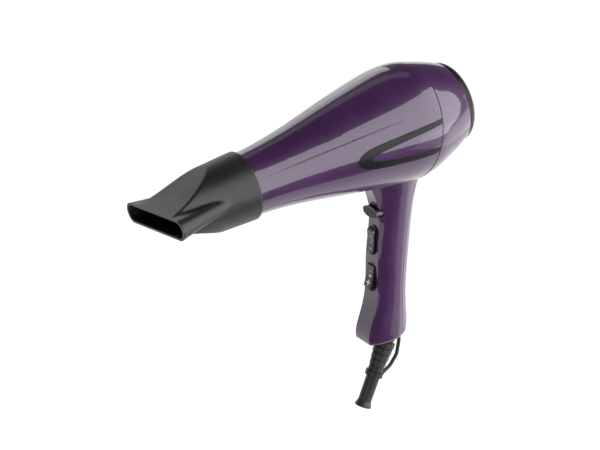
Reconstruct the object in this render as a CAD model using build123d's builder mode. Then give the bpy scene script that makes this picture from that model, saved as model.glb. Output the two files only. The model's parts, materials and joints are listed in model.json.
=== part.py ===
"""Hair dryer: a purple barrel along X with a handle below it, as fifty separate inner and outer pieces.

Millimetres. The origin is on the barrel's axis, at the rear edge of the concentrator nozzle.
+X points the way the air blows, +Z up, the handle hangs down -Z, +Y is the dryer's left side.
"""

from build123d import *
from math import atan2, cos, radians, sin, tan
import os

# ---------------------------------------------------------------- driving dimensions
WALL = 2.4  # moulded casing thickness
BARREL = [(4, 24.2), (0, 24.4), (-40, 28.9), (-80, 36.7), (-115, 43.1), (-140, 45.8)]
DOME = [(-140, 45.8), (-152, 44.9), (-165, 41.3), (-177, 37.1), (-187, 32.8)]
REAR_X = DOME[-1][0]  # rear edge of the purple casing
PARTING = [(-160.5, 48), (-151.6, 0), (-138.5, -48)]  # (x, z) of the barrel's parting line
SADDLE_X, SADDLE_HALF, SADDLE_Z = -157.5, 17.2, -34  # main casing's tongue above the handle

# Handle stations: z, x of the front panel, x of the back, half width, half width of the panel
HANDLE = [
    (-26, -103.5, -166.0, 17.5, 6.4),
    (-50, -108.6, -152.0, 15.8, 6.4),
    (-64, -110.2, -146.0, 15.0, 6.6),
    (-88, -106.2, -139.2, 14.7, 7.6),
    (-118, -100.9, -132.0, 14.8, 8.5),
    (-146, -93.6, -127.3, 15.3, 8.9),
    (-173, -85.4, -123.9, 16.0, 9.0),
]
HANDLE_BOTTOM = HANDLE[-1][0]
BOTTOM_ROUND = 2.2
WIDEST = 0.47  # how far back from the panel the handle is widest, as a share of its depth
HEAD_SEAT = 1.8  # depth of the cover screws' head seats
BACK_STRIP = 10.0  # depth of the handle's separate back cover
PANEL_LEAN = 10.0  # degrees the control panel leans

COLLAR_R, COLLAR_IN, COLLAR_END = 23.4, 20.6, 18.0
SKIRT_R, SKIRT_X = 21.7, -18.0
GROOVE_X, GROOVE_W, GROOVE_R = 11.0, 2.8, 22.0

NOZZLE_TURN = 8.8  # degrees the nozzle rests turned about X
NOZZLE_LENGTH, NOZZLE_BORE = 76.2, 25.0
NOZZLE_WALL = 1.6
SLOT_WIDTH, SLOT_HEIGHT = 86.0, 16.0

SLEEVE_R, SLEEVE_IN, SLEEVE_X = 22.2, 21.6, (-96.0, -18.5)
BOARD_T, BOARD_X, BOARD_R = 0.8, (-95.0, -22.0), 21.5
COIL_R, COIL_WIRE, COIL_TURNS, COIL_PITCH = 18.6, 0.7, 8, 8.0
COIL_FIRST_X = -86.0

DUCT_R, DUCT_IN, DUCT_X = 39.2, 37.8, (-157.0, -116.0)
CUP_R, CUP_X = 15.8, (-143.0, -114.0)
MOTOR_R, MOTOR_X = 14.0, (-142.0, -106.0)
SHAFT_R, BUSH_R, SHAFT_X = 1.15, 3.0, (-158.0, -101.0)
FAN_HUB_R, FAN_TIP_R, FAN_X, FAN_BLADES = 13.0, 36.6, (-156.5, -145.6), 9

GRILLE_X, GRILLE_R = -195.0, 29.2  # rear face and radius of the rear grille
GRILLE_SKIRT_R = 28.4

HEAT_Z, SPEED_Z, COOL_Z = -89.0, -119.3, -64.6
ROCKER_HALF, ROCKER_WIDTH, ROCKER_PROUD = 11.0, 8.6, 3.0
PIVOT_DEPTH, PIN_R, ROCKER_TILT = 3.5, 1.0, 10.0
BUTTON = (18.6, 8.7)  # width across the handle, height
BUTTON_PROUD = 3.6

RELIEF_X, RELIEF_LEAN, RELIEF_LENGTH = -108.5, 31.1, 61.5
RELIEF_BORE = 3.6
SCREW_R, SCREW_HEAD_R = 1.35, 2.6


# ---------------------------------------------------------------- shared shapes
def radius_at(x, points):
    """Radius of a run of (x, r) points at x, straight between them."""
    for (x0, r0), (x1, r1) in zip(points, points[1:]):
        if x1 <= x <= x0:
            return r0 + (r1 - r0) * (x0 - x) / (x0 - x1)
    return points[-1][1]


def barrel_solid(shrink, front, rear):
    """The barrel's outer form less shrink all over, as a solid of revolution."""
    curve = BARREL + DOME[1:]
    slopes = [
        atan2(curve[max(i - 1, 0)][1] - curve[min(i + 1, len(curve) - 1)][1],
              curve[max(i - 1, 0)][0] - curve[min(i + 1, len(curve) - 1)][0])
        for i in range(len(curve))
    ]
    points = [(x, r - shrink / cos(s)) for (x, r), s in zip(curve, slopes)]
    first = (front, points[0][1])
    last = (rear, points[-1][1] + (rear - points[-1][0]) * tan(slopes[-1]))
    points = [first] + points[1:-1] + [last]
    with BuildPart() as solid:
        with BuildSketch(Plane.XZ):
            with BuildLine():
                Spline(*points)
                Polyline(points[-1], (rear, 0), (front, 0), points[0])
            make_face()
        revolve(axis=Axis.X)
    return solid.part


def handle_section(z, front, back, half_width, panel_half, shrink):
    """One level section of the handle: a flat front panel, arcs to the widest point, round back."""
    front, back, half_width = front - shrink, back + shrink, half_width - shrink
    panel_half = panel_half - 0.45 * shrink
    middle = front - WIDEST * (front - back)
    with BuildSketch(Plane.XY.offset(z)) as section:
        with BuildLine():
            Line((front, -panel_half), (front, panel_half))
            TangentArc((middle, half_width), (front, panel_half), tangent=(1, 0))
            EllipticalCenterArc((middle, 0), middle - back, half_width, 90, arc_size=180)
            TangentArc((middle, -half_width), (front, -panel_half), tangent=(1, 0))
        make_face()
    return section.sketch


def handle_solid(shrink, bottom):
    """The handle's outer form less shrink all over, down to the level bottom."""
    with BuildPart() as solid:
        sections = [handle_section(*station, shrink) for station in HANDLE]
        loft(sections=sections)
        if bottom > HANDLE_BOTTOM:
            split(bisect_by=Plane.XY.offset(bottom), keep=Keep.TOP)
        else:
            fillet(solid.edges().group_by(Axis.Z)[0], BOTTOM_ROUND)
    return solid.part


def ring(outer, inner, x_from, x_to):
    """A plain ring or tube about the X axis."""
    with BuildPart() as tube:
        with BuildSketch(Plane.YZ.offset(x_from)):
            Circle(outer)
            if inner > 0:
                Circle(inner, mode=Mode.SUBTRACT)
        extrude(amount=x_to - x_from)
    return tube.part


def panel_plane(z):
    """Plane on the control panel at height z: its x is +Y, its y runs up the panel."""
    stations = [(s[0], s[1]) for s in HANDLE]
    front = radius_at(z, stations)
    lean = radians(PANEL_LEAN)
    return Plane(origin=(front, 0, z), x_dir=(0, 1, 0), z_dir=(cos(lean), 0, sin(lean)))


def save(piece, name):
    piece.label = name
    export_step(piece, f"parts/{name}.step")


os.makedirs("parts", exist_ok=True)

barrel_outer = barrel_solid(0, BARREL[0][0], REAR_X)
barrel_inner = barrel_solid(WALL, BARREL[0][0] + 1, REAR_X - 1)
handle_outer = handle_solid(0, HANDLE_BOTTOM)
handle_inner = handle_solid(WALL, HANDLE_BOTTOM + WALL)

# Everything behind the parting line, except the tongue of main casing over the handle.
with BuildPart() as rear_zone:
    with BuildSketch(Plane.XZ.offset(-60)):
        with BuildLine():
            ThreePointArc(*PARTING)
            Polyline(PARTING[-1], (-230, -48), (-230, 48), PARTING[0])
        make_face()
    extrude(amount=120)
    with Locations((SADDLE_X + 30, 0, SADDLE_Z - 30)):
        Box(60, 2 * SADDLE_HALF, 60, mode=Mode.SUBTRACT)

# The back strip of the handle, below the barrel.
with BuildPart() as back_zone:
    with BuildSketch(Plane.XZ.offset(-30)):
        seam = [(s[2] + BACK_STRIP, s[0]) for s in HANDLE]
        with BuildLine():
            Spline(*seam)
            Polyline(seam[-1], (seam[-1][0], -190), (-190, -190), (-190, seam[0][1]), seam[0])
        make_face()
    extrude(amount=60)
    add(barrel_outer, mode=Mode.SUBTRACT)

# ---------------------------------------------------------------- main casing
def v_outline(points):
    """A V with its point forward, symmetrical about z = 0, from its upper (x, z) points."""
    return points + [(x, -z) for x, z in reversed(points) if z > 0]


TRIM_OUTER = v_outline([(-170, 12.0), (-133, 12.3), (-113, 10.9), (-94, 8.8), (-84, 5.6), (-79.6, 0)])
TRIM_INNER = v_outline([(-170, 7.4), (-131, 7.9), (-114, 6.0), (-102, 4.3), (-95, 2.6), (-90.1, 0)])
TRIM_SINK, TRIM_PROUD = 1.1, 0.25

with BuildPart() as trim_layer:
    add(barrel_solid(-TRIM_PROUD, BARREL[0][0] - 1, REAR_X + 1))
    add(barrel_solid(TRIM_SINK, BARREL[0][0], REAR_X), mode=Mode.SUBTRACT)
    add(rear_zone.part, mode=Mode.SUBTRACT)


def side_trim(side):
    """The V of black trim let into one side of the barrel."""
    with BuildPart() as trim:
        with BuildSketch(Plane.XZ):
            for outline, mode in ((TRIM_OUTER, Mode.ADD), (TRIM_INNER, Mode.SUBTRACT)):
                with BuildLine():
                    Spline(*outline)
                    Line(outline[-1], outline[0])
                make_face(mode=mode)
        extrude(amount=-60 * side)
        add(trim_layer.part, mode=Mode.INTERSECT)
    return trim.part


trims = {"left": side_trim(1), "right": side_trim(-1)}

heat_plane, speed_plane, cool_plane = (panel_plane(z) for z in (HEAT_Z, SPEED_Z, COOL_Z))
SWITCH_OPENING = (10.8, 24.2)  # the hole in the panel for each rocker switch
BODY_BEZEL, BODY_DEPTH = (11.6, 25.2), 13.0
COVER_SCREW_Z = (-73.7, -143.0)
BOSS_R = 2.2
PANEL_INSIDE = WALL - 0.4

with BuildPart() as main_housing:
    add(barrel_outer)
    add(handle_outer)
    add(barrel_inner, mode=Mode.SUBTRACT)
    add(handle_inner, mode=Mode.SUBTRACT)
    add(rear_zone.part, mode=Mode.SUBTRACT)
    for side in trims.values():
        add(side, mode=Mode.SUBTRACT)
    for plane in (heat_plane, speed_plane):
        with BuildSketch(plane.offset(-8)):
            SlotOverall(SWITCH_OPENING[1], SWITCH_OPENING[0], rotation=90)
        extrude(amount=16, mode=Mode.SUBTRACT)
        with BuildSketch(plane):
            SlotOverall(BODY_BEZEL[1], BODY_BEZEL[0], rotation=90)
        extrude(amount=2, mode=Mode.SUBTRACT)
    with BuildSketch(cool_plane.offset(-8)):
        Ellipse(BUTTON[0] / 2 + 0.7, BUTTON[1] / 2 + 0.7)
    extrude(amount=16, mode=Mode.SUBTRACT)
    for z in COVER_SCREW_Z:
        front = panel_plane(z).origin.X
        with BuildSketch(Plane.YZ.offset(front - PANEL_INSIDE)):
            with Locations((0, z)):
                Circle(BOSS_R)
        extrude(amount=-18.6)
        with BuildSketch(Plane.YZ.offset(front - 6)):
            with Locations((0, z)):
                Circle(SCREW_R)
        extrude(amount=-30, mode=Mode.SUBTRACT)
    add(back_zone.part, mode=Mode.SUBTRACT)
    with BuildSketch(Plane.XY.offset(HANDLE_BOTTOM - 1)):
        with Locations((RELIEF_X, 0)):
            Circle(7.2)
    extrude(amount=WALL + 2, mode=Mode.SUBTRACT)
save(main_housing.part, "main_housing")
for name, piece in trims.items():
    save(piece, f"side_trim_{name}")

# ---------------------------------------------------------------- rear casing and back strip
back_stations = [(s[0], s[2]) for s in HANDLE]

with BuildPart() as rear_cover:
    add(barrel_outer)
    add(barrel_inner, mode=Mode.SUBTRACT)
    add(rear_zone.part, mode=Mode.INTERSECT)
save(rear_cover.part, "rear_cover")

with BuildPart() as handle_back_cover:
    add(handle_outer)
    add(handle_inner, mode=Mode.SUBTRACT)
    add(back_zone.part, mode=Mode.INTERSECT)
    for z in COVER_SCREW_Z:
        with BuildSketch(Plane.YZ.offset(-150)):
            with Locations((0, z)):
                Circle(SCREW_R + 0.15)
        extrude(amount=40, mode=Mode.SUBTRACT)
        with BuildSketch(Plane.YZ.offset(radius_at(z, back_stations) + HEAD_SEAT)):
            with Locations((0, z)):
                Circle(SCREW_HEAD_R + 0.2)
        extrude(amount=-10, mode=Mode.SUBTRACT)
    with BuildSketch(Plane.XY.offset(HANDLE_BOTTOM - 1)):
        with Locations((RELIEF_X, 0)):
            Circle(7.2)
    extrude(amount=WALL + 2, mode=Mode.SUBTRACT)
save(handle_back_cover.part, "handle_back_cover")

# ---------------------------------------------------------------- outlet collar and grille
with BuildPart() as outlet_collar:
    add(ring(COLLAR_R, COLLAR_IN, BARREL[0][0], COLLAR_END))
    add(ring(SKIRT_R, COLLAR_IN, SKIRT_X, BARREL[0][0]))
    groove = (GROOVE_X - GROOVE_W / 2, GROOVE_X + GROOVE_W / 2)
    add(ring(COLLAR_R + 1, GROOVE_R, *groove), mode=Mode.SUBTRACT)
save(outlet_collar.part, "outlet_collar")

with BuildPart() as outlet_grille:
    with BuildSketch(Plane.YZ.offset(12.6)):
        for outer, inner in ((COLLAR_IN, 19.2), (15.0, 13.8), (9.4, 8.2), (3.6, 1.4)):
            Circle(outer)
            Circle(inner, mode=Mode.SUBTRACT)
        with PolarLocations(11.0, 6):
            Rectangle(17.6, 1.2)
    extrude(amount=2.2)
save(outlet_grille.part, "outlet_grille")

with BuildPart() as nozzle_snap_ring:
    with BuildSketch(Plane.YZ.offset(GROOVE_X - 1.0)):
        Circle(COLLAR_R + 1.0)
        Circle(GROOVE_R + 0.35, mode=Mode.SUBTRACT)
        with Locations((0, -COLLAR_R)):
            Rectangle(6, 8, mode=Mode.SUBTRACT)
    extrude(amount=2.0)
snap_ring_turned = Rotation(NOZZLE_TURN, 0, 0) * nozzle_snap_ring.part
save(snap_ring_turned, "nozzle_snap_ring")

# ---------------------------------------------------------------- concentrator nozzle
SLEEVE_PROFILE = [(0, 27.0), (14, 26.4), (28, 25.8), (42, 25.5), (57, 26.0), (NOZZLE_LENGTH, 28.1)]
RAMP = [(20, 29.2), (28, 25.4), (42.5, 18.8), (56.5, 12.8), (NOZZLE_LENGTH, SLOT_HEIGHT / 2)]
BLADE_X, BLADE_HALF, BLADE_THICK = 20.0, 24.0, 9.0


def nozzle_form(shrink, front):
    """Round sleeve cut by two flat ramps, and the wide flat blade that grows out of its sides."""
    profile = [(x, r - shrink) for x, r in SLEEVE_PROFILE[:-1]] + [(front, SLEEVE_PROFILE[-1][1] - shrink)]
    upper = [(x, z - shrink) for x, z in RAMP]
    lower = [(x, -z) for x, z in reversed(upper)]
    with BuildPart() as form:
        with BuildSketch(Plane.XZ):
            with BuildLine():
                Spline(*profile)
                Polyline(profile[-1], (front, 0), (0, 0), profile[0])
            make_face()
        revolve(axis=Axis.X)
        with BuildSketch(Plane.XZ.offset(-50)):
            with BuildLine():
                Spline(*upper)
                Polyline(upper[-1], (front + 0.1, upper[-1][1]), (front + 0.1, lower[0][1]), lower[0])
                Spline(*lower)
                Polyline(lower[-1], (-1, -50), (-1, 50), upper[0])
            make_face()
        extrude(amount=100, mode=Mode.INTERSECT)
        with BuildSketch(Plane.YZ.offset(BLADE_X)) as root:
            SlotOverall(2 * (BLADE_HALF - shrink), BLADE_THICK - 2 * shrink)
        with BuildSketch(Plane.YZ.offset(front)) as mouth:
            SlotOverall(SLOT_WIDTH - 2 * shrink, SLOT_HEIGHT - 2 * shrink)
        loft(sections=[root.sketch, mouth.sketch])
    return form.part


SEAT_END = COLLAR_END + 0.4  # the bore runs just past the collar's front edge
STOP_RIB_IN, STOP_RIB = 22.2, 1.4  # inner radius and thickness of the rib that stops against the collar

with BuildPart() as nozzle_hollow:
    add(nozzle_form(NOZZLE_WALL, NOZZLE_LENGTH + 0.5))
    add(ring(40, 0, -1, SEAT_END), mode=Mode.SUBTRACT)

with BuildPart() as concentrator_nozzle:
    add(nozzle_form(0, NOZZLE_LENGTH))
    add(nozzle_hollow.part, mode=Mode.SUBTRACT)
    add(ring(NOZZLE_BORE, 0, -1, SEAT_END), mode=Mode.SUBTRACT)
    add(ring(NOZZLE_BORE - 0.4, STOP_RIB_IN, SEAT_END, SEAT_END + STOP_RIB))
nozzle_turned = Rotation(NOZZLE_TURN, 0, 0) * concentrator_nozzle.part
save(nozzle_turned, "concentrator_nozzle")

# ---------------------------------------------------------------- heater
HALF_SLIT = BOARD_T / 2 + 0.05  # half the slit that lets the two boards cross
coil_xs = [COIL_FIRST_X + turn * COIL_PITCH for turn in range(COIL_TURNS)]
board_middle = (BOARD_X[0] + BOARD_X[1]) / 2

save(ring(SLEEVE_R, SLEEVE_IN, *SLEEVE_X), "mica_sleeve")


def mica_board(slot_from, slot_to):
    """Flat board in the XZ plane, notched for the coil, with a half slot for its partner."""
    with BuildPart() as board:
        with BuildSketch(Plane.XZ):
            with Locations((board_middle, 0)):
                Rectangle(BOARD_X[1] - BOARD_X[0], 2 * BOARD_R)
            with Locations(*[(x, side * BOARD_R) for x in coil_xs for side in (-1, 1)]):
                Rectangle(2.2, 2 * (BOARD_R - COIL_R + COIL_WIRE + 0.3), mode=Mode.SUBTRACT)
            with Locations(((slot_from + slot_to) / 2, 0)):
                Rectangle(slot_to - slot_from, 2 * HALF_SLIT, mode=Mode.SUBTRACT)
        extrude(amount=BOARD_T / 2, both=True)
    return board.part


upright_board = mica_board(BOARD_X[0], board_middle)
level_board = Rotation(90, 0, 0) * mica_board(board_middle, BOARD_X[1])
save(upright_board, "mica_board_upright")
save(level_board, "mica_board_level")

with BuildPart() as heating_coil:
    for x in coil_xs:
        with BuildSketch(Plane.XZ):
            with Locations((x, COIL_R)):
                Circle(COIL_WIRE)
        revolve(axis=Axis.X)
save(heating_coil.part, "heating_coil")

with BuildPart() as thermostat:
    with Locations((-42, 8.5, HALF_SLIT + 2)):
        Box(12, 7, 4)
    with Locations((-42, 8.5, HALF_SLIT + 4.6)):
        Box(9, 4, 1.2)
save(thermostat.part, "thermostat")

with BuildPart(Plane.YZ.offset(-50)) as thermal_fuse:
    with Locations((-9, HALF_SLIT + 2.05)):
        Cylinder(2.0, 11, align=(Align.CENTER, Align.CENTER, Align.MIN))
        Cylinder(0.5, 17, align=(Align.CENTER, Align.CENTER, Align.MIN))
save(thermal_fuse.part, "thermal_fuse")

with BuildPart() as air_guide:
    with BuildSketch(Plane.XZ):
        with BuildLine():
            Polyline((-115.8, DUCT_R), (-98, SLEEVE_R + 1.4), (SLEEVE_X[0] + 3, SLEEVE_R + 1.4),
                     (SLEEVE_X[0] + 3, SLEEVE_R), (-98.6, SLEEVE_R), (-115.8, DUCT_R - 1.6), close=True)
        make_face()
    revolve(axis=Axis.X)
save(air_guide.part, "air_guide")

# ---------------------------------------------------------------- motor and fan
VANES, VANE_X, VANE_LENGTH, VANE_T, VANE_PITCH = 7, -128.0, 19.0, 1.5, 18.0
vane_chord = (cos(radians(VANE_PITCH)), sin(radians(VANE_PITCH)), 0)
vane_plane = Plane(origin=(VANE_X, 0, (CUP_R + DUCT_IN) / 2), x_dir=vane_chord, z_dir=(0, 0, 1))

with BuildPart(vane_plane) as stator_vane:
    Box(VANE_LENGTH, VANE_T, DUCT_IN - CUP_R + 1.6)

with BuildPart() as motor_mount:
    add(ring(DUCT_R, DUCT_IN, *DUCT_X))
    add(ring(CUP_R, MOTOR_R, *CUP_X))
    for turn in range(VANES):
        add(Rotation(turn * 360 / VANES, 0, 0) * stator_vane.part)
save(motor_mount.part, "motor_mount")

with BuildPart() as damper_rings:
    for x in (DUCT_X[0] + 8, DUCT_X[1] - 6):
        add(ring(DUCT_R + 1.2, DUCT_R, x - 1.5, x + 1.5))
save(damper_rings.part, "motor_damper_rings")

with BuildPart() as motor_can:
    add(ring(MOTOR_R, MOTOR_R - 1.0, *MOTOR_X))
    add(ring(MOTOR_R, BUSH_R, MOTOR_X[0], MOTOR_X[0] + 1.2))
save(motor_can.part, "motor_can")

save(ring(BUSH_R, SHAFT_R + 0.05, MOTOR_X[0] - 1.6, MOTOR_X[0] + 2.2), "motor_bush_rear")
save(ring(BUSH_R, SHAFT_R + 0.05, MOTOR_X[1] + 0.4, MOTOR_X[1] + 3.6), "motor_bush_front")

with BuildPart() as motor_end_cap:
    add(ring(MOTOR_R, BUSH_R, MOTOR_X[1], MOTOR_X[1] + 3.0))
save(motor_end_cap.part, "motor_end_cap")

with BuildPart() as motor_magnets:
    add(ring(MOTOR_R - 1.0, 11.6, MOTOR_X[0] + 4, MOTOR_X[1] - 6))
    with Locations((-126, 0, 0)):
        Box(40, 40, 9, mode=Mode.SUBTRACT)
save(motor_magnets.part, "motor_magnets")

ROTOR_X, ROTOR_R, POLES = (-135.0, -115.0), 11.1, 5
with BuildPart() as rotor_core:
    with BuildSketch(Plane.YZ.offset(ROTOR_X[0])):
        Circle(ROTOR_R)
        with PolarLocations((ROTOR_R + 4.6) / 2, POLES):
            Rectangle(ROTOR_R - 4.6 + 1, 2.2, mode=Mode.SUBTRACT)
        with PolarLocations(7.2, POLES):
            Circle(1.9, mode=Mode.SUBTRACT)
        Circle(SHAFT_R, mode=Mode.SUBTRACT)
    extrude(amount=ROTOR_X[1] - ROTOR_X[0])
save(rotor_core.part, "rotor_core")

with BuildPart() as rotor_windings:
    with BuildSketch(Plane.YZ.offset(ROTOR_X[0] - 2)):
        with PolarLocations(7.2, POLES):
            Circle(1.7)
    extrude(amount=ROTOR_X[1] - ROTOR_X[0] + 4)
    for x in (ROTOR_X[0] - 2, ROTOR_X[1] + 0.1):
        add(ring(9.4, 4.4, x, x + 1.9))
save(rotor_windings.part, "rotor_windings")

with BuildPart() as commutator:
    with BuildSketch(Plane.YZ.offset(-112.4)):
        Circle(4.0)
        Circle(SHAFT_R, mode=Mode.SUBTRACT)
        with PolarLocations(4.0, POLES):
            Rectangle(1.6, 0.5, mode=Mode.SUBTRACT)
    extrude(amount=5.0)
save(commutator.part, "commutator")

with BuildPart() as motor_brushes:
    for side in (-1, 1):
        with Locations((-110, side * 6.4, 0)):
            Box(3.2, 4.0, 2.6)
save(motor_brushes.part, "motor_brushes")

save(ring(SHAFT_R, 0, *SHAFT_X), "motor_shaft")

# Fan blade sections: height on the blade, angle from the shaft in degrees, chord
BLADE_SECTIONS = [(FAN_HUB_R - 2.5, 40, 10.5), (25, 52, 12.5), (FAN_TIP_R, 60, 12.5)]
BLADE_T = 1.3
blade_x = (FAN_X[0] + FAN_X[1]) / 2 + 0.4

with BuildPart() as fan_blade:
    for height, angle, chord in BLADE_SECTIONS:
        chord_line = (cos(radians(angle)), sin(radians(angle)), 0)
        with BuildSketch(Plane(origin=(blade_x, 0, height), x_dir=chord_line, z_dir=(0, 0, 1))):
            SlotOverall(chord, BLADE_T)
    loft()

with BuildPart() as fan:
    with BuildSketch(Plane.XZ):
        with BuildLine():
            Polyline((FAN_X[0] + 2, SHAFT_R), (FAN_X[1], SHAFT_R), (FAN_X[1], FAN_HUB_R))
            Line((FAN_X[1], FAN_HUB_R), (FAN_X[0] + 6, FAN_HUB_R - 0.6))
            ThreePointArc((FAN_X[0] + 6, FAN_HUB_R - 0.6), (FAN_X[0] + 1.4, 9.0), (FAN_X[0], 3.0))
            Polyline((FAN_X[0], 3.0), (FAN_X[0], SHAFT_R), (FAN_X[0] + 2, SHAFT_R))
        make_face()
    revolve(axis=Axis.X)
    for turn in range(FAN_BLADES):
        add(Rotation(turn * 360 / FAN_BLADES, 0, 0) * fan_blade.part)
save(fan.part, "fan")

with BuildPart() as rectifier_board:
    add(ring(12.5, 4.0, MOTOR_X[1] + 6.0, MOTOR_X[1] + 7.4))
    for angle in (45, 135, 225, 315):
        with BuildSketch(Plane.YZ.offset(MOTOR_X[1] + 4.0)):
            with Locations((8.6 * cos(radians(angle)), 8.6 * sin(radians(angle)))):
                Circle(1.4)
        extrude(amount=2.0)
save(rectifier_board.part, "rectifier_board")

# ---------------------------------------------------------------- rear grille
rim = (REAR_X - 0.2, DOME[-1][1] - 0.3)  # the grille's widest edge, just behind the casing

with BuildPart() as rear_grille:
    with BuildSketch(Plane.XZ):
        with BuildLine():
            Line((rim[0], GRILLE_SKIRT_R), rim)
            Spline(rim, (REAR_X - 4.2, rim[1] - 1.1), (GRILLE_X, GRILLE_R - 1.6))
            Polyline((GRILLE_X, GRILLE_R - 1.6), (GRILLE_X, GRILLE_R - 4.2), (GRILLE_X + 3, GRILLE_R - 4.2),
                     (GRILLE_X + 3, GRILLE_SKIRT_R - 1.6), (REAR_X + 5, GRILLE_SKIRT_R - 1.6),
                     (REAR_X + 5, GRILLE_SKIRT_R), (rim[0], GRILLE_SKIRT_R))
        make_face()
    revolve(axis=Axis.X)
    with BuildSketch(Plane.YZ.offset(GRILLE_X + 0.4)):
        for radius in (6.0, 11.5, 17.0, 22.5):
            Circle(radius + 0.8)
            Circle(radius - 0.8, mode=Mode.SUBTRACT)
        with PolarLocations(15.5, 12):
            Rectangle(22.0, 1.5)
        Circle(5.2)
    extrude(amount=2.0)
save(rear_grille.part, "rear_grille")

save(ring(GRILLE_SKIRT_R - 1.7, 0, GRILLE_X + 3.4, GRILLE_X + 3.9), "filter_mesh")
with BuildPart() as filter_clip_ring:
    add(ring(GRILLE_SKIRT_R - 1.7, GRILLE_SKIRT_R - 4.2, GRILLE_X + 3.9, GRILLE_X + 5.1))
save(filter_clip_ring.part, "filter_clip_ring")

# ---------------------------------------------------------------- rocker switches
CAVITY, CAVITY_DEPTH = (ROCKER_WIDTH + 0.8, 22.8), 8.4
CAP_FOOT, CAP_DISH = 0.14, 0.9  # how far round its end the cap runs, in radians, and the dip in its face


def cross_pin(plane, radius, length):
    """A pin across the handle on the rocker's pivot line, for a switch whose frame lies on plane."""
    with BuildPart(plane.offset(-PIVOT_DEPTH)) as pin:
        Cylinder(radius, length, rotation=(0, 90, 0))
    return pin.part


def switch_body(plane):
    """Frame with a rim on the panel and a box behind it that takes the rocker."""
    with BuildPart() as body:
        with BuildSketch(plane.offset(-BODY_DEPTH)):
            SlotOverall(SWITCH_OPENING[1], SWITCH_OPENING[0], rotation=90)
        extrude(amount=BODY_DEPTH)
        with BuildSketch(plane):
            SlotOverall(BODY_BEZEL[1], BODY_BEZEL[0], rotation=90)
        extrude(amount=0.6)
        with BuildSketch(plane.offset(-CAVITY_DEPTH)):
            RectangleRounded(CAVITY[0], CAVITY[1], 3.0)
        extrude(amount=10, mode=Mode.SUBTRACT)
        add(cross_pin(plane, PIN_R, 20), mode=Mode.SUBTRACT)
    return body.part


def rocker_cap(plane, tilt):
    """Cap with round ends about its pivot, tilted about the pivot's pin."""
    pivot = plane.offset(-PIVOT_DEPTH)
    side = Plane(origin=pivot.origin, x_dir=pivot.y_dir, z_dir=pivot.x_dir)
    top = PIVOT_DEPTH + ROCKER_PROUD
    edge = (ROCKER_HALF**2 - top**2) ** 0.5
    foot, under = ROCKER_HALF * cos(CAP_FOOT), -ROCKER_HALF * sin(CAP_FOOT)
    with BuildPart() as cap:
        with BuildSketch(side.offset(-ROCKER_WIDTH / 2)):
            with BuildLine():
                Polyline((-edge, top), (-0.5, top - CAP_DISH), (0.5, top - CAP_DISH), (edge, top))
                ThreePointArc((edge, top), (ROCKER_HALF, 0), (foot, under))
                Line((foot, under), (-foot, under))
                ThreePointArc((-foot, under), (-ROCKER_HALF, 0), (-edge, top))
            make_face()
        extrude(amount=ROCKER_WIDTH)
        with BuildSketch(pivot.offset(-12)):
            RectangleRounded(ROCKER_WIDTH, 2 * ROCKER_HALF + 0.2, 3.4)
        extrude(amount=30, mode=Mode.INTERSECT)
        add(cross_pin(plane, PIN_R + 0.05, 20), mode=Mode.SUBTRACT)
    return cap.part.rotate(Axis(pivot.origin, (0, 1, 0)), tilt)


save(switch_body(heat_plane), "heat_switch_body")
save(switch_body(speed_plane), "speed_switch_body")
save(rocker_cap(heat_plane, 0), "heat_rocker")
save(rocker_cap(speed_plane, -ROCKER_TILT), "speed_rocker")

with BuildPart() as rocker_pins:
    for plane in (heat_plane, speed_plane):
        add(cross_pin(plane, PIN_R, SWITCH_OPENING[0] - 0.2))
save(rocker_pins.part, "rocker_pins")

with BuildPart() as switch_terminals:
    for plane in (heat_plane, speed_plane):
        with BuildSketch(plane.offset(-BODY_DEPTH - 4)):
            with Locations((0, -8), (0, 0), (0, 8)):
                Rectangle(4.0, 0.8)
        extrude(amount=4)
save(switch_terminals.part, "switch_terminals")

# ---------------------------------------------------------------- cool-shot button
STEM_R, BRACKET_Z, STEM_END = 2.6, (-9.0, -7.4), -10.4
with BuildPart() as cool_shot_button:
    with BuildSketch(cool_plane.offset(-2.6)):
        Ellipse(BUTTON[0] / 2, BUTTON[1] / 2)
    extrude(amount=2.6 + BUTTON_PROUD)
    with BuildSketch(cool_plane.offset(STEM_END)):
        Circle(STEM_R)
    extrude(amount=-2.6 - STEM_END)
save(cool_shot_button.part, "cool_shot_button")

with BuildPart() as cool_shot_bracket:
    with BuildSketch(cool_plane.offset(BRACKET_Z[0])):
        Rectangle(40, 9.4)
        Circle(STEM_R + 0.3, mode=Mode.SUBTRACT)
    extrude(amount=BRACKET_Z[1] - BRACKET_Z[0])
    add(handle_inner, mode=Mode.INTERSECT)
    add(back_zone.part, mode=Mode.SUBTRACT)
save(cool_shot_bracket.part, "cool_shot_bracket")

SPRING_TURNS, SPRING_PITCH, SPRING_WIRE = 3, 1.6, 0.4
spring_turns = [cool_plane.offset(BRACKET_Z[1] + 0.5 + turn * SPRING_PITCH) for turn in range(SPRING_TURNS)]

with BuildPart(*spring_turns) as cool_shot_spring:
    Torus(STEM_R + 0.9, SPRING_WIRE)
save(cool_shot_spring.part, "cool_shot_spring")

with BuildPart() as cool_shot_microswitch:
    with BuildSketch(cool_plane.offset(-20)):
        Rectangle(11, 6)
    extrude(amount=6.0)
    with BuildSketch(cool_plane.offset(-14)):
        Rectangle(8, 3)
    extrude(amount=0.8)
save(cool_shot_microswitch.part, "cool_shot_microswitch")

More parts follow.
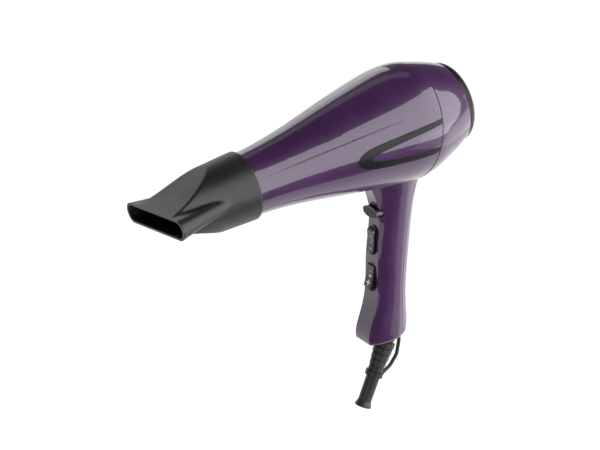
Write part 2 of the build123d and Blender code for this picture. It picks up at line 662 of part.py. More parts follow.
# ---------------------------------------------------------------- strain relief and hanging loop
relief_lean = radians(RELIEF_LEAN)
relief_axis = (sin(relief_lean), 0, -cos(relief_lean))
KNUCKLE_Z = HANDLE_BOTTOM - 3.0
relief_plane = Plane(origin=(RELIEF_X, 0, KNUCKLE_Z), x_dir=(0, 1, 0), z_dir=relief_axis)
RIBS, RIB_FIRST, RIB_PITCH, RIB_LENGTH = 5, 7.6, 5.3, 4.2
RIB_TOP_R, RIB_TAPER = 8.3, 0.56
CORE_R, TUBE_R, LIP_R = 5.8, 5.4, 6.7
PLUG_R, FLANGE_R = 7.0, 8.8
relief_side = Plane(origin=relief_plane.origin, x_dir=relief_axis, z_dir=(0, -1, 0))

with BuildPart() as strain_relief:
    with BuildSketch(relief_side):
        with BuildLine():
            Polyline((0, 0), (0, PLUG_R), (RIB_FIRST, CORE_R), (RELIEF_LENGTH - 5, TUBE_R),
                     (RELIEF_LENGTH - 1, LIP_R), (RELIEF_LENGTH, LIP_R), (RELIEF_LENGTH, 0), close=True)
        make_face()
        for rib in range(RIBS):
            rise = RIB_TOP_R - RIB_TAPER * rib
            with Locations((RIB_FIRST + rib * RIB_PITCH, rise / 2)):
                Rectangle(RIB_LENGTH, rise)
    revolve(axis=Axis(relief_plane.origin, relief_axis))
    with Locations(relief_plane.origin):
        Sphere(PLUG_R + 0.3)
    for radius, bottom, height in ((PLUG_R, KNUCKLE_Z, 9.0), (FLANGE_R, HANDLE_BOTTOM + WALL + 0.1, 1.6)):
        with BuildSketch(Plane.XY.offset(bottom)):
            with Locations((RELIEF_X, 0)):
                Circle(radius)
        extrude(amount=height)
    with BuildSketch(relief_plane.offset(-1)):
        Circle(RELIEF_BORE)
    extrude(amount=RELIEF_LENGTH + 2, mode=Mode.SUBTRACT)
    with BuildSketch(Plane.XY.offset(KNUCKLE_Z - 0.5)):
        with Locations((RELIEF_X, 0)):
            Circle(RELIEF_BORE)
    extrude(amount=14, mode=Mode.SUBTRACT)
save(strain_relief.part, "strain_relief")

LOOP_R, LOOP_TOP_R = 1.5, 11.8
LOOP_ROUTE = [(-118.8, -174.0), (-118.6, -184.8), (-114.6, -196.6), (-107.2, -204.0), (-96.8, -208.4)]
EYE_RUN, EYE_LENGTH = 31.2, 4.0
with BuildPart() as hanging_loop:
    with BuildSketch(Plane.XY.offset(HANDLE_BOTTOM - 2.2)):
        with Locations((RELIEF_X, 0)):
            Circle(LOOP_TOP_R)
            Circle(PLUG_R + 0.5, mode=Mode.SUBTRACT)
    extrude(amount=2.2)
    with BuildSketch(relief_plane.offset(EYE_RUN)):
        Circle(7.3)
        Circle(CORE_R, mode=Mode.SUBTRACT)
    extrude(amount=EYE_LENGTH)
    with BuildLine(Plane.XZ) as route:
        FilletPolyline(*LOOP_ROUTE, radius=9)
    with BuildSketch(Plane(origin=route.line @ 0, z_dir=route.line % 0)):
        Circle(LOOP_R)
    sweep(path=route.line)
    with BuildSketch(relief_plane.offset(EYE_RUN - 6)):
        Circle(CORE_R)
    extrude(amount=18, mode=Mode.SUBTRACT)
save(hanging_loop.part, "hanging_loop")

# ---------------------------------------------------------------- wiring inside the handle
CLAMP_Z = -162.0
with BuildPart() as cord_clamp:
    with Locations((RELIEF_X, 0, CLAMP_Z)):
        Box(11, 19, 4)
        Cylinder(RELIEF_BORE, 5, mode=Mode.SUBTRACT)
        with Locations((0, -7.2, 0), (0, 7.2, 0)):
            Cylinder(SCREW_R, 5, mode=Mode.SUBTRACT)
save(cord_clamp.part, "cord_clamp")

with BuildPart() as terminal_block:
    with Locations((RELIEF_X - 1, 0, -151.0)):
        Box(9, 16, 7)
        with Locations((0, -4, 0), (0, 4, 0)):
            Cylinder(1.6, 8, mode=Mode.SUBTRACT)
save(terminal_block.part, "terminal_block")


def pan_screw(plane, length):
    """Screw with a pan head whose underside lies on the plane and whose shank runs along its -z."""
    with BuildPart(plane) as screw:
        Cylinder(SCREW_HEAD_R, 1.6, align=(Align.CENTER, Align.CENTER, Align.MIN))
        Cylinder(SCREW_R, length, align=(Align.CENTER, Align.CENTER, Align.MAX))
        with BuildSketch(plane.offset(1.6)):
            Rectangle(3.2, 0.7)
            Rectangle(0.7, 3.2)
        extrude(amount=-0.9, mode=Mode.SUBTRACT)
    return screw.part


with BuildPart() as cord_clamp_screws:
    for y in (-7.2, 7.2):
        add(pan_screw(Plane(origin=(RELIEF_X, y, CLAMP_Z + 2)), 6))
save(cord_clamp_screws.part, "cord_clamp_screws")

with BuildPart() as cover_screws:
    for z in COVER_SCREW_Z:
        back = radius_at(z, back_stations)
        seat = Plane(origin=(back + HEAD_SEAT, 0, z), z_dir=(-1, 0, 0))
        add(pan_screw(seat, 18))
save(cover_screws.part, "handle_cover_screws")

LEAD_R = 1.0
LEAD_ROUTE = [
    (-121, -146),
    (-124, -120),
    (-127.2, -92),
    (-126.5, -62),
    (-118.5, -44.5),
    (-106, -32),
    (-99, -28),
]
with BuildPart() as internal_leads:
    for y in (-7.0, 7.0):
        lead_plane = Plane(origin=(0, y, 0), x_dir=(1, 0, 0), z_dir=(0, -1, 0))
        with BuildLine(lead_plane) as lead:
            FilletPolyline(*LEAD_ROUTE, radius=9)
        with BuildSketch(Plane(origin=lead.line @ 0, z_dir=lead.line % 0)):
            Circle(LEAD_R)
        sweep(path=lead.line)
save(internal_leads.part, "internal_leads")
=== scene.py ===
"""Looks, lights and camera for a purple hand-held hair dryer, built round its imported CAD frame. Metres."""

import json
import math

import bmesh
import bpy
from mathutils import Matrix, Quaternion, Vector
from mathutils.bvhtree import BVHTree


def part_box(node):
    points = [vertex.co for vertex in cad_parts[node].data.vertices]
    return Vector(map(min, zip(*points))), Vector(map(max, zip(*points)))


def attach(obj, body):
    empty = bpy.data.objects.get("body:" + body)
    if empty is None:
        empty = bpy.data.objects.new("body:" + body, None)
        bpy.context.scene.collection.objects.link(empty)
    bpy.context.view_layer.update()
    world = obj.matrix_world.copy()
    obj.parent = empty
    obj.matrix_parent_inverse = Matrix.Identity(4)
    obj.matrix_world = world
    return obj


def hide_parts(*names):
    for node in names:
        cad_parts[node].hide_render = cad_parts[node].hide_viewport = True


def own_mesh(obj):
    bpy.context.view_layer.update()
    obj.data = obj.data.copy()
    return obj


MM = 0.001
LEFT = Vector((0, 1, 0))

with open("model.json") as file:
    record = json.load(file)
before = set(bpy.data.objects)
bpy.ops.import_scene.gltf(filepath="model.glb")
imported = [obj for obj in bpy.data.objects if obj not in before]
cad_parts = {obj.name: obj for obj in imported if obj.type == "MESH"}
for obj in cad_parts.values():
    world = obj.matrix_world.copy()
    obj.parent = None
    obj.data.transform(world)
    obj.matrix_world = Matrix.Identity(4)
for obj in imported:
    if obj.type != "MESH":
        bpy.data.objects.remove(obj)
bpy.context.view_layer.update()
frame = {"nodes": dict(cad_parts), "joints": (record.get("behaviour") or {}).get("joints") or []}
NODES = frame["nodes"]


# ---------------------------------------------------------------- materials

NOISE_ROUGHNESS = 0.55
NOISE_LOW, NOISE_HIGH = 0.3, 0.7  # the range that most of the noise falls in
METAL_SHADE = 0.7


def new_material(name):
    """A fresh node material, with its shader and its own coordinates, which move with the piece."""
    made = bpy.data.materials.new(name)
    made.use_nodes = True
    tree = made.node_tree
    shader = tree.nodes["Principled BSDF"]
    place = tree.nodes.new("ShaderNodeTexCoord").outputs["Object"]
    return made, tree, shader, place


def noise(tree, place, scale, detail=3.0):
    """Noise over a piece, with features about 1 / scale metres across."""
    node = tree.nodes.new("ShaderNodeTexNoise")
    tree.links.new(place, node.inputs["Vector"])
    node.inputs["Scale"].default_value = scale
    node.inputs["Detail"].default_value = detail
    node.inputs["Roughness"].default_value = NOISE_ROUGHNESS
    return node.outputs["Fac"]


def ramp(tree, source, low, high, start=NOISE_LOW, end=NOISE_HIGH):
    """A colour ramp from low to high over part of the source's range."""
    node = tree.nodes.new("ShaderNodeValToRGB")
    tree.links.new(source, node.inputs["Fac"])
    for element, position, colour in zip(node.color_ramp.elements, (start, end), (low, high)):
        element.position = position
        element.color = (*colour, 1)
    return node.outputs["Color"]


def spread(tree, source, low, high):
    """The source's middle range stretched to low..high, for a roughness."""
    node = tree.nodes.new("ShaderNodeMapRange")
    tree.links.new(source, node.inputs["Value"])
    values = {"From Min": NOISE_LOW, "From Max": NOISE_HIGH, "To Min": low, "To Max": high}
    for socket, value in values.items():
        node.inputs[socket].default_value = value
    return node.outputs["Result"]


def bump(tree, source, depth):
    """A bump of that depth in metres."""
    node = tree.nodes.new("ShaderNodeBump")
    node.inputs["Distance"].default_value = depth
    tree.links.new(source, node.inputs["Height"])
    return node.outputs["Normal"]


def plastic(name, colour, shade=0.8, roughness=(0.3, 0.36), grain=1400, depth=6e-6, specular=0.5, coat=0):
    """Moulded plastic: slow colour drift, slight gloss changes and a fine grain. Ceramics use it too."""
    made, tree, shader, place = new_material(name)
    drift = noise(tree, place, 45)
    fine = noise(tree, place, grain, detail=2)
    darker = tuple(channel * shade for channel in colour)
    tree.links.new(ramp(tree, drift, darker, colour), shader.inputs["Base Color"])
    tree.links.new(spread(tree, drift, *roughness), shader.inputs["Roughness"])
    tree.links.new(bump(tree, fine, depth), shader.inputs["Normal"])
    shader.inputs["Specular IOR Level"].default_value = specular
    shader.inputs["Coat Weight"].default_value = coat
    shader.inputs["Coat Roughness"].default_value = 0.05
    return made


def pearl_lacquer(name, deep, light):
    """Glossy casing: a clear coat over a deep base that holds a very fine pearl speckle."""
    made, tree, shader, place = new_material(name)
    flakes = tree.nodes.new("ShaderNodeTexVoronoi")
    tree.links.new(place, flakes.inputs["Vector"])
    flakes.inputs["Scale"].default_value = 2600
    cloud = noise(tree, place, 30)
    mix = tree.nodes.new("ShaderNodeMath")
    mix.operation = "MULTIPLY_ADD"
    tree.links.new(flakes.outputs["Distance"], mix.inputs[0])
    mix.inputs[1].default_value = 0.55
    tree.links.new(spread(tree, cloud, 0.1, 0.3), mix.inputs[2])
    tree.links.new(ramp(tree, mix.outputs[0], deep, light, 0.25, 0.75), shader.inputs["Base Color"])
    tree.links.new(spread(tree, cloud, 0.34, 0.42), shader.inputs["Roughness"])
    ripple = bump(tree, noise(tree, place, 160, detail=1), 4e-6)
    tree.links.new(ripple, shader.inputs["Coat Normal"])
    shader.inputs["Specular IOR Level"].default_value = 0.3
    shader.inputs["Coat Weight"].default_value = 1.0
    shader.inputs["Coat Roughness"].default_value = 0.045
    shader.inputs["Coat IOR"].default_value = 1.5
    return made


def metal(name, colour, roughness, brushed=(1, 1, 1), grain=900, depth=5e-6):
    """Metal with brushed or cast grain. brushed packs the grain closer along the axes that it raises."""
    made, tree, shader, place = new_material(name)
    stretch = tree.nodes.new("ShaderNodeMapping")
    stretch.inputs["Scale"].default_value = brushed
    tree.links.new(place, stretch.inputs["Vector"])
    fine = noise(tree, stretch.outputs["Vector"], grain, detail=4)
    drift = noise(tree, place, 120)
    darker = tuple(channel * METAL_SHADE for channel in colour)
    tree.links.new(ramp(tree, drift, darker, colour), shader.inputs["Base Color"])
    tree.links.new(spread(tree, fine, *roughness), shader.inputs["Roughness"])
    tree.links.new(bump(tree, fine, depth), shader.inputs["Normal"])
    shader.inputs["Metallic"].default_value = 1.0
    return made


FINISH = {
    "casing_purple": pearl_lacquer("casing_purple", (0.030, 0.0065, 0.044), (0.066, 0.018, 0.090)),
    "nozzle_black": plastic("nozzle_black", (0.014, 0.014, 0.0145), 0.8, (0.38, 0.46), 2600, 1.2e-5, 0.42),
    "trim_black": plastic("trim_black", (0.012, 0.011, 0.013), 0.8, (0.26, 0.33), depth=3e-6, specular=0.2),
    "control_black": plastic("control_black", (0.012, 0.012, 0.013), 0.8, (0.2, 0.28), depth=3e-6, coat=0.4),
    "heat_black": plastic("heat_black", (0.03, 0.03, 0.03), 0.8, (0.5, 0.6), 1800, 1e-5),
    "rubber_black": plastic("rubber_black", (0.017, 0.017, 0.018), 0.8, (0.38, 0.48)),
    "mica": plastic("mica", (0.5, 0.38, 0.24), 0.6, (0.3, 0.5), 500, 2e-5),
    "resistance_wire": metal("resistance_wire", (0.32, 0.29, 0.27), (0.35, 0.55)),
    "steel": metal("steel", (0.62, 0.62, 0.63), (0.2, 0.34), (1, 8, 8)),
    "filter_steel": metal("filter_steel", (0.5, 0.5, 0.51), (0.3, 0.45)),
    "magnet": plastic("magnet", (0.07, 0.07, 0.075), 0.7, (0.55, 0.75), 900, 2e-5),
    "laminations": metal("laminations", (0.3, 0.31, 0.34), (0.3, 0.5), (40, 1, 1), 60, 1e-5),
    "copper": metal("copper", (0.8, 0.33, 0.15), (0.2, 0.35)),
    "bronze": metal("bronze", (0.55, 0.36, 0.16), (0.35, 0.55)),
    "carbon": plastic("carbon", (0.02, 0.02, 0.02), 0.7, (0.5, 0.7), 1500, 1e-5),
    "fan_plastic": plastic("fan_plastic", (0.03, 0.03, 0.032), 0.8, (0.35, 0.45)),
    "board_green": plastic("board_green", (0.02, 0.13, 0.05), 0.7, (0.3, 0.45), 700, 1e-5),
    "terminal_white": plastic("terminal_white", (0.6, 0.59, 0.55), 0.92, (0.35, 0.45)),
    "ceramic": plastic("ceramic", (0.74, 0.72, 0.66), 0.9, (0.2, 0.35), 600, 8e-6),
    "lead_sheath": plastic("lead_sheath", (0.42, 0.03, 0.03), 0.85, (0.35, 0.5)),
}


def finish_nodes():
    """Gives each carried-over CAD node its procedural finish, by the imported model's own material names."""
    for node in NODES.values():
        for place in node.material_slots:
            place.material = FINISH[place.material.name.split(".")[0]]


# ------------------------------------------------------------- added detail

WELD = 1e-6
SHARP = math.radians(35)
PARTING_RADIUS = 43.4 * MM
PARTING_FROM_REAR = 20 * MM
TRIM_REAR_X = -154 * MM
SEAM_TOP_GAP, SEAM_FOOT_GAP, SEAM_HALF_WIDTH = 6 * MM, 3 * MM, 12.3 * MM
SKIN_KNEE_X = -115 * MM
# A place along the barrel, the least radius of the outer skin there, and its gain for each metre rearwards.
SKIN_BEHIND_KNEE = (-115 * MM, 42.3 * MM, 0.13)
SKIN_AHEAD_OF_KNEE = (-80 * MM, 36.1 * MM, 0.183)


def add_piece(name, data, body, slot, material=None):
    """A new visible piece that rides on a CAD body and takes its finish from a material slot."""
    piece = bpy.data.objects.new(name, data)
    bpy.context.scene.collection.objects.link(piece)
    data.materials.append(material or FINISH[slot])
    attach(piece, body)
    return piece


def sharp_runs(node, keep):
    """Runs of points along a CAD node's sharp edges, for those edges whose middle passes keep(point)."""
    shape = bmesh.new()
    shape.from_mesh(NODES[node].data)
    bmesh.ops.remove_doubles(shape, verts=shape.verts, dist=WELD)
    links = {}
    for edge in shape.edges:
        middle = (edge.verts[0].co + edge.verts[1].co) / 2
        if len(edge.link_faces) == 2 and edge.calc_face_angle() > SHARP and keep(middle):
            first, second = (v.index for v in edge.verts)
            links.setdefault(first, set()).add(second)
            links.setdefault(second, set()).add(first)
    shape.verts.ensure_lookup_table()
    runs = []
    while links:
        start = min(links, key=lambda v: (len(links[v]), v))
        run = [start]
        while links.get(run[-1]):
            following = min(links[run[-1]])
            for point, other in ((run[-1], following), (following, run[-1])):
                links[point].discard(other)
                if not links[point]:
                    del links[point]
            run.append(following)
        links.pop(start, None)
        if len(run) > 2:
            runs.append([shape.verts[v].co.copy() for v in run])
    shape.free()
    return runs


def tube_curve(name, runs, radius, bevel_resolution):
    """A curve with a straight-sided tube along each run of points."""
    curve = bpy.data.curves.new(name, "CURVE")
    curve.dimensions = "3D"
    curve.bevel_depth = radius
    curve.bevel_resolution = bevel_resolution
    curve.use_fill_caps = True
    for run in runs:
        spline = curve.splines.new("POLY")
        spline.points.add(len(run) - 1)
        for point, place in zip(spline.points, run):
            point.co = (*place, 1)
    return curve


def seam_line(name, node, keep, radius):
    """A thin dark line on the surface of the housing where two mouldings meet."""
    add_piece(name, tube_curve(name, sharp_runs(node, keep), radius, 1), "housing", "trim_black")


def casing_seams():
    """The parting line round the barrel, the edges of the two V trims and the seam down the handle's back."""
    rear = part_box("rear_cover")[0].x + PARTING_FROM_REAR
    seam_line("parting_line", "rear_cover",
              lambda p: p.x > rear and math.hypot(p.y, p.z) > PARTING_RADIUS, 0.32 * MM)
    for side in ("left", "right"):
        seam_line(f"trim_edge_{side}", f"side_trim_{side}",
                  lambda p: p.x > TRIM_REAR_X and outside_barrel(p), 0.2 * MM)
    low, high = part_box("handle_back_cover")
    foot, top = low.z + SEAM_FOOT_GAP, high.z - SEAM_TOP_GAP
    seam_line("handle_seam", "handle_back_cover",
              lambda p: foot < p.z < top and abs(p.y) > SEAM_HALF_WIDTH, 0.13 * MM)


def outside_barrel(point):
    """Whether a point of a trim is on its outer skin rather than its sunk back."""
    x, radius, gain = SKIN_BEHIND_KNEE if point.x < SKIN_KNEE_X else SKIN_AHEAD_OF_KNEE
    return math.hypot(point.y, point.z) > radius + (x - point.x) * gain


VOXEL = 0.62 * MM
SMOOTH_ROUNDS = 14
SEAT_LENGTH, CRISP_FRONT = 19 * MM, 5 * MM  # the nozzle's two ends, which stay unblended
RIM_DEPTH, RIM_STANDS_OUT = 0.9 * MM, 0.3 * MM


def smooth(shape, verts, factor):
    """One round of smoothing."""
    every_way = {"use_axis_x": True, "use_axis_y": True, "use_axis_z": True}
    bmesh.ops.smooth_vert(shape, verts=verts, factor=factor, **every_way)


def soft_nozzle():
    """The nozzle with its forms blended into each other, as moulding leaves them, and its slot kept crisp."""
    low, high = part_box("concentrator_nozzle")
    source = bpy.data.objects.new("nozzle_source", NODES["concentrator_nozzle"].data.copy())
    bpy.context.scene.collection.objects.link(source)
    remesh = source.modifiers.new("voxels", "REMESH")
    remesh.mode = "VOXEL"
    remesh.voxel_size = VOXEL
    evaluated = source.evaluated_get(bpy.context.evaluated_depsgraph_get())
    mesh = bpy.data.meshes.new_from_object(evaluated)
    bpy.data.objects.remove(source)
    mesh.name = "nozzle_moulding"
    start, end = low.x + SEAT_LENGTH, high.x - CRISP_FRONT
    shape = bmesh.new()
    shape.from_mesh(mesh)
    blended = [v for v in shape.verts if start < v.co.x < end]
    for _ in range(SMOOTH_ROUNDS):
        smooth(shape, blended, 0.5)
    smooth(shape, shape.verts, 0.4)
    for vert in shape.verts:
        vert.co.x = min(vert.co.x, high.x - RIM_STANDS_OUT)
    for face in shape.faces:
        face.smooth = True
    shape.to_mesh(mesh)
    shape.free()
    mesh.materials.clear()
    piece = add_piece("nozzle_moulding", mesh, "nozzle", "nozzle_black")
    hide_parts("concentrator_nozzle")


def nozzle_rim():
    """The crisp flat rim of the slot, from the CAD nozzle's own front face."""
    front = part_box("concentrator_nozzle")[1].x - 0.02 * MM
    shape = bmesh.new()
    shape.from_mesh(NODES["concentrator_nozzle"].data)
    bmesh.ops.remove_doubles(shape, verts=shape.verts, dist=WELD)
    others = [f for f in shape.faces if f.normal.x < 0.99 or f.calc_center_median().x < front]
    bmesh.ops.delete(shape, geom=others, context="FACES")
    whole = shape.faces[:] + shape.edges[:] + shape.verts[:]
    copied = bmesh.ops.extrude_face_region(shape, geom=whole)["geom"]
    back = [item for item in copied if isinstance(item, bmesh.types.BMVert)]
    bmesh.ops.translate(shape, vec=(-RIM_DEPTH, 0, 0), verts=back)
    bmesh.ops.recalc_face_normals(shape, faces=shape.faces)
    mesh = bpy.data.meshes.new("nozzle_rim")
    shape.to_mesh(mesh)
    shape.free()
    add_piece("nozzle_rim", mesh, "nozzle", "nozzle_black")


AHEAD_OF_HANDLE = 0.1
OUTLINE_POINTS = 48
MARK_HEIGHT = 0.07 * MM
MARK_Y = 0.6 * MM
BAR_HEIGHT, BAR_WIDTHS = 1.1 * MM, (1.5 * MM, 2.2 * MM, 3.0 * MM)
RIBS = 9
RIB_WIDTH, RIB_LENGTH, RIB_HEIGHT = 0.85 * MM, 7.4 * MM, 0.3 * MM
RIBS_BELOW_TOP = 5.2 * MM


def surface_point(node, y, z):
    """Where a line along -X at that y and z first meets a node, and its normal there."""
    mesh = NODES[node].data
    corners = [v.co.copy() for v in mesh.vertices]
    tree = BVHTree.FromPolygons(corners, [list(f.vertices) for f in mesh.polygons])
    place, normal = tree.ray_cast(Vector((AHEAD_OF_HANDLE, y, z)), Vector((-1, 0, 0)))[:2]
    return place, normal


def flat_shape(outline, half_thickness, place, normal):
    """A thin solid of an outline in its own plane, laid on a surface with its y up."""
    up = normal.cross(LEFT).normalized()
    side = up.cross(normal).normalized()
    basis = Matrix((side, up, normal)).transposed()
    count = len(outline)
    heights = (-half_thickness, half_thickness)
    verts = [place + basis @ Vector((x, y, height)) for height in heights for x, y in outline]
    faces = [tuple(range(count - 1, -1, -1)), tuple(range(count, 2 * count))]
    faces += [(i, (i + 1) % count, count + (i + 1) % count, count + i) for i in range(count)]
    return verts, faces


def ring_outline(radius, petals=0, depth=0.0):
    """A disc, or a flower of that many petals."""
    outline = []
    for i in range(OUTLINE_POINTS):
        turn = 2 * math.pi * i / OUTLINE_POINTS
        reach = radius * (1 + depth * math.cos(petals * turn))
        outline.append((reach * math.cos(turn), reach * math.sin(turn)))
    return outline


def bar_outline(width, height):
    """A bar with cut corners."""
    x, y, cut = width / 2, height / 2, min(width, height) / 4
    right = [(x - cut, -y), (x, -y + cut), (x, y - cut), (x - cut, y)]
    return right + [(-across, -along) for across, along in right]


def joined(name, parts):
    """One mesh from several lists of vertices and faces."""
    verts, faces = [], []
    for part_verts, part_faces in parts:
        faces += [tuple(i + len(verts) for i in face) for face in part_faces]
        verts += part_verts
    mesh = bpy.data.meshes.new(name)
    mesh.from_pydata(verts, [], faces)
    mesh.update()
    return mesh


def rocker_marks():
    """Three generic marks on each rocker: bars for the heat, and a bar, a dot and a flower for the air."""
    white = plastic("mark_white", (0.85, 0.85, 0.83), 0.95, (0.4, 0.5))
    grey = plastic("mark_grey", (0.5, 0.5, 0.5), 0.9, (0.4, 0.5))
    dot, flower = ring_outline(1.25 * MM), ring_outline(1.7 * MM, 4, 0.42)
    bars = [bar_outline(width, BAR_HEIGHT) for width in BAR_WIDTHS]
    groups = (
        ("heat_marks", "heat_rocker", grey, zip((0.72, 0.5, 0.28), bars)),
        ("speed_mark_low", "speed_rocker", grey, [(0.78, bars[0])]),
        ("speed_marks_high", "speed_rocker", white, [(0.6, dot), (0.37, flower)]),
    )
    for name, node, finish, marks in groups:
        low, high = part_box(node)
        shapes = []
        for share, outline in marks:
            place, normal = surface_point(node, MARK_Y, low.z + share * (high.z - low.z))
            shapes.append(flat_shape(outline, MARK_HEIGHT, place, normal))
        add_piece(name, joined(name, shapes), node, "control_black", finish)


def button_ribs():
    """Upright ribs on the face of the cool-shot button."""
    low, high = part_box("cool_shot_button")
    half_width = (high.y - low.y) / 2
    ribs = []
    for k in range(RIBS):
        y = (k - (RIBS - 1) / 2) * half_width * 2 / (RIBS + 1)
        length = RIB_LENGTH * math.sqrt(1 - (y / half_width) ** 2)
        place, normal = surface_point("cool_shot_button", y, high.z - RIBS_BELOW_TOP)
        ribs.append(flat_shape(bar_outline(RIB_WIDTH, length), RIB_HEIGHT, place, normal))
    add_piece("button_ribs", joined("button_ribs", ribs), "cool_button", "control_black")


SPRING_WIRE, SPRING_RADIUS, SPRING_LENGTH = 0.4 * MM, 3.5 * MM, 4.2 * MM
SPRING_TURNS, SPRING_STEPS = 4, 24


def cool_shot_spring():
    """A helix in place of the plain turns behind the cool-shot button."""
    joint = next(j for j in frame["joints"] if j["name"] == "cool_shot_press")
    inward = Vector(joint["axis"]).normalized()
    low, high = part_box("cool_shot_spring")
    start = (low + high) / 2 + inward * SPRING_LENGTH / 2
    up = inward.cross(LEFT).normalized()
    steps = SPRING_TURNS * SPRING_STEPS
    helix = []
    for i in range(steps + 1):
        angle = 2 * math.pi * i / SPRING_STEPS
        around = (LEFT * math.cos(angle) + up * math.sin(angle)) * SPRING_RADIUS
        helix.append(start + around - inward * SPRING_LENGTH * i / steps)
    curve = tube_curve("press_spring", [helix], SPRING_WIRE, 3)
    drawn = bpy.data.objects.new("spring_source", curve)
    bpy.context.scene.collection.objects.link(drawn)
    mesh = bpy.data.meshes.new_from_object(drawn.evaluated_get(bpy.context.evaluated_depsgraph_get()))
    bpy.data.objects.remove(drawn)
    mesh.materials.clear()
    piece = add_piece("press_spring", mesh, "housing", "steel")
    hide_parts("cool_shot_spring")
    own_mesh(piece)


# ------------------------------------------------------------ stage, lights

LIT_POINT = Vector((-0.08, 0, -0.02))


def direction(azimuth, elevation):
    """A unit vector. Azimuth 0 is +Y and 90 is +X, both in degrees."""
    a, e = math.radians(azimuth), math.radians(elevation)
    return Vector((math.sin(a) * math.cos(e), math.cos(a) * math.cos(e), math.sin(e)))


def softbox(name, azimuth, elevation, distance, width, height, radiance, roll=0):
    """An area light that faces LIT_POINT from that direction, in degrees, and that the camera doesn't see."""
    data = bpy.data.lights.new(name, "AREA")
    data.shape = "RECTANGLE"
    data.size, data.size_y = width, height
    data.energy = radiance * math.pi * width * height
    light = bpy.data.objects.new(name, data)
    bpy.context.scene.collection.objects.link(light)
    way = direction(azimuth, elevation)
    light.location = LIT_POINT + way * distance
    facing = (-way).to_track_quat("-Z", "Y")
    light.rotation_euler = (facing @ Quaternion((0, 0, 1), math.radians(roll))).to_euler()
    light.visible_camera = False


FLOOR_Z = -1.3
FLOOR_NEAR_Y = 1.05
FLOOR_PROFILE = [(1.5, 0), (3.0, 0.02), (4.2, 0.12), (5.0, 0.4), (5.5, 0.9), (5.8, 1.8)]  # radius, rise
FLOOR_TURNS = 64


def make_floor():
    """A plain pale floor far below, swept up far away. It glows, so that it shows as white."""
    made, tree, shader, place = new_material("floor_white")
    tint = ramp(tree, noise(tree, place, 2), (0.25, 0.25, 0.25), (0.27, 0.27, 0.27))
    tree.links.new(tint, shader.inputs["Base Color"])
    shader.inputs["Roughness"].default_value = 0.9
    shader.inputs["Emission Color"].default_value = (1, 1, 1, 1)
    shader.inputs["Emission Strength"].default_value = 0.98
    sweep = bmesh.new()
    turns = [2 * math.pi * i / FLOOR_TURNS for i in range(FLOOR_TURNS)]
    rings = []
    for radius, rise in FLOOR_PROFILE:
        places = [(radius * math.cos(turn), radius * math.sin(turn), FLOOR_Z + rise) for turn in turns]
        rings.append([sweep.verts.new(place) for place in places])
    sweep.faces.new(rings[0])
    for inner, outer in zip(rings, rings[1:]):
        for i in range(FLOOR_TURNS):
            k = (i + 1) % FLOOR_TURNS
            sweep.faces.new((inner[i], outer[i], outer[k], inner[k]))
    whole = sweep.verts[:] + sweep.edges[:] + sweep.faces[:]
    near = (0, FLOOR_NEAR_Y, 0)
    bmesh.ops.bisect_plane(sweep, geom=whole, plane_co=near, plane_no=LEFT, clear_outer=True)
    for face in sweep.faces:
        face.smooth = True
    mesh = bpy.data.meshes.new("floor")
    sweep.to_mesh(mesh)
    sweep.free()
    mesh.materials.append(made)
    floor = bpy.data.objects.new("floor", mesh)
    bpy.context.scene.collection.objects.link(floor)


FLAG = [(-0.42, 1.1, 0.55), (-0.10, 1.1, 0.53), (-0.10, 1.1, 0.64)]


def make_flag():
    """A narrow black wedge before the window of light. The barrel shows it as a thin dark spear."""
    made, tree, shader, place = new_material("flag_black")
    tint = ramp(tree, noise(tree, place, 5), (0.004, 0.004, 0.004), (0.006, 0.006, 0.006))
    tree.links.new(tint, shader.inputs["Base Color"])
    shader.inputs["Roughness"].default_value = 1.0
    mesh = bpy.data.meshes.new("flag")
    mesh.from_pydata(FLAG, [], [(0, 1, 2)])
    mesh.materials.append(made)
    flag = bpy.data.objects.new("flag", mesh)
    bpy.context.scene.collection.objects.link(flag)
    flag.visible_camera = False


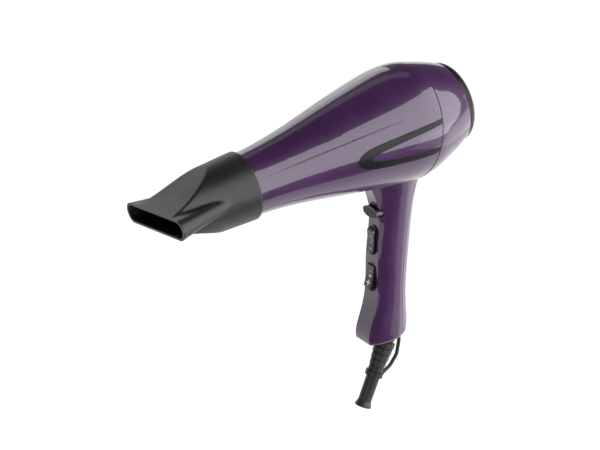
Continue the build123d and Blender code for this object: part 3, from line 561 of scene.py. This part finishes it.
def make_world():
    """White where the camera looks, and dim where the casing reflects it, so that dark bands stay dark."""
    world = bpy.data.worlds.new("studio")
    bpy.context.scene.world = world
    world.use_nodes = True
    tree = world.node_tree
    seen, dim = tree.nodes["Background"], tree.nodes.new("ShaderNodeBackground")
    for background, strength in ((seen, 1.0), (dim, 0.06)):
        background.inputs["Color"].default_value = (1, 1, 1, 1)
        background.inputs["Strength"].default_value = strength
    path, mix = tree.nodes.new("ShaderNodeLightPath"), tree.nodes.new("ShaderNodeMixShader")
    tree.links.new(path.outputs["Is Camera Ray"], mix.inputs["Fac"])
    tree.links.new(dim.outputs["Background"], mix.inputs[1])
    tree.links.new(seen.outputs["Background"], mix.inputs[2])
    tree.links.new(mix.outputs["Shader"], tree.nodes["World Output"].inputs["Surface"])


def make_lights():
    """A large window of light before the left side, a low fill, two lamps on the far side, one in front."""
    softbox("key_softbox", -36, 14, 1.3, 2.1, 1.95, 3.5, roll=-10)
    softbox("low_fill", -66, -27, 1.5, 2.6, 0.7, 0.8)
    softbox("back_low", 180, 23, 1.6, 1.9, 0.8, 1.5)
    softbox("back_faint", -155, 52, 1.5, 1.4, 0.36, 0.4)
    softbox("front_fill", 62, 4, 1.7, 0.9, 1.2, 1.3)


CAMERA_AT = Vector((0.6943, 1.2827, 0.7173))
CAMERA_TO = Vector((-0.0245, 0.0326, -0.0309))
CAMERA_LENS = 132
CAMERA_SENSOR = 36
CAMERA_ROLL = math.radians(8.24)


def make_camera():
    """A long lens from the front left and above, rolled a little."""
    data = bpy.data.cameras.new("camera")
    data.lens = CAMERA_LENS
    data.sensor_width = CAMERA_SENSOR
    camera = bpy.data.objects.new("camera", data)
    bpy.context.scene.collection.objects.link(camera)
    aim = (CAMERA_TO - CAMERA_AT).to_track_quat("-Z", "Y").to_matrix().to_4x4()
    camera.matrix_world = Matrix.Translation(CAMERA_AT) @ aim @ Matrix.Rotation(-CAMERA_ROLL, 4, "Z")
    bpy.context.scene.camera = camera


finish_nodes()
casing_seams()
soft_nozzle()
nozzle_rim()
rocker_marks()
button_ribs()
cool_shot_spring()
make_floor()
make_flag()
make_world()
make_lights()
make_camera()
bpy.context.scene.view_settings.view_transform = "Standard"
